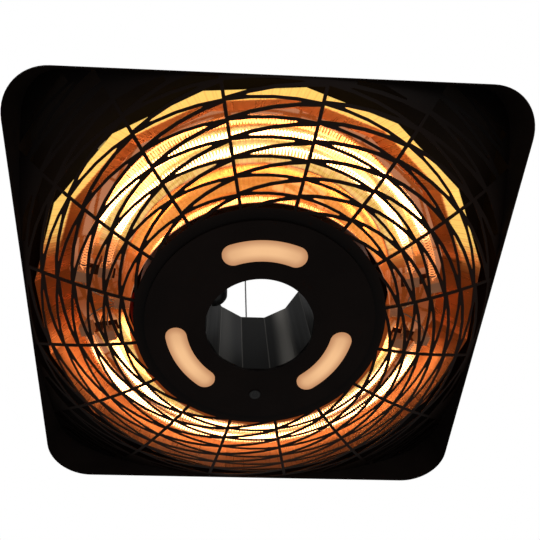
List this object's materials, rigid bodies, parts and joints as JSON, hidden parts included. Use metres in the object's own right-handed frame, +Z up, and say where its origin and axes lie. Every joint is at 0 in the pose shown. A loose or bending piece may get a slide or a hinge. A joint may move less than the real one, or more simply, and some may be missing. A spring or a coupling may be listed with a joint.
{
  "type": "electric patio heater",
  "caption": "Hanging electric patio heater: square hood, dished slotted grille, curved quartz elements, lamp hub with power button, through tube, ropes, snap hook and ceiling plate.",
  "frame": {"origin": "centre of the ceiling plate's upper face", "axes": "+Z up, +X to the right of the hood seen from its near side, -Y towards the near side"},
  "size_m": [0.5, 0.5, 0.8417],
  "materials": {
    "black_paint": "satin",
    "steel": "satin",
    "dark_steel": "semi-gloss",
    "gold_reflector": "polished, gold",
    "quartz": "gloss",
    "filament": "glowing",
    "ceramic": "matt",
    "insulation": "fibrous",
    "diffuser": "frosted",
    "black_plastic": "satin",
    "circuit": "gloss",
    "white_plastic": "matt",
    "red_insulation": "satin"
  },
  "bodies": {
    "ceiling": {"ceiling_plate": "black_paint", "ceiling_eye": "steel"},
    "hook": {"snap_hook": "steel", "gate_pin": "steel"},
    "gate": {"hook_gate": "steel", "gate_spring": "steel"},
    "button": {"power_button": "black_plastic"},
    "heater": {"hanging_ring": "steel", "suspension_rope_near": "steel", "suspension_rope_right": "steel", "suspension_rope_far": "steel", "suspension_rope_left": "steel", "rope_ferrules": "steel", "eye_bolts": "steel", "eye_nuts": "steel", "top_cover": "black_paint", "cover_screws": "steel", "cable_gland": "black_plastic", "tube_collar": "black_paint", "through_tube": "dark_steel", "reflector_outer": "gold_reflector", "reflector_roof": "gold_reflector", "reflector_inner": "gold_reflector", "reflector_brackets": "steel", "insulation_ring": "insulation", "quartz_tube_outer_near": "quartz", "quartz_tube_outer_far": "quartz", "quartz_tube_inner_near": "quartz", "quartz_tube_inner_far": "quartz", "filament_outer_near": "filament", "filament_outer_far": "filament", "filament_inner_near": "filament", "filament_inner_far": "filament", "tube_end_caps": "ceramic", "tube_brackets": "steel", "tube_leads": "steel", "lead_bushes": "ceramic", "grille_plate": "black_paint", "lamp_disc": "black_paint", "lamp_window_near": "diffuser", "lamp_window_left": "diffuser", "lamp_window_right": "diffuser", "lamp_board_near": "circuit", "lamp_board_left": "circuit", "lamp_board_right": "circuit", "button_spring": "steel", "switch_board": "circuit", "support_posts": "steel", "chassis_plate": "steel", "control_box": "black_plastic", "control_board": "circuit", "lamp_driver": "white_plastic", "terminal_block": "white_plastic", "thermal_cutout": "steel", "tilt_switch": "black_plastic", "wiring": "red_insulation"}
  },
  "joints": [
    {"name": "hook_swing", "type": "hinge", "parent": "ceiling", "child": "hook", "pos_m": [0, 0, -0.031], "axis": [0, 1, 0], "range_deg": [-25, 25]},
    {"name": "gate_hinge", "type": "hinge", "parent": "hook", "child": "gate", "pos_m": [0.014, 0, -0.069], "axis": [0, -1, 0], "range_deg": [0, 25], "stiffness_Nm_per_rad": 0.06, "springref_deg": -17.19},
    {"name": "heater_swing", "type": "hinge", "parent": "hook", "child": "heater", "pos_m": [0, 0, -0.0887], "axis": [1, 0, 0], "range_deg": [-25, 25]},
    {"name": "power_press", "type": "slide", "parent": "heater", "child": "button", "axis": [0, 0, 1], "range_m": [0, 0.001], "stiffness_N_per_m": 400, "springref_m": -0.003, "deforming": ["button_spring"]}
  ]
}
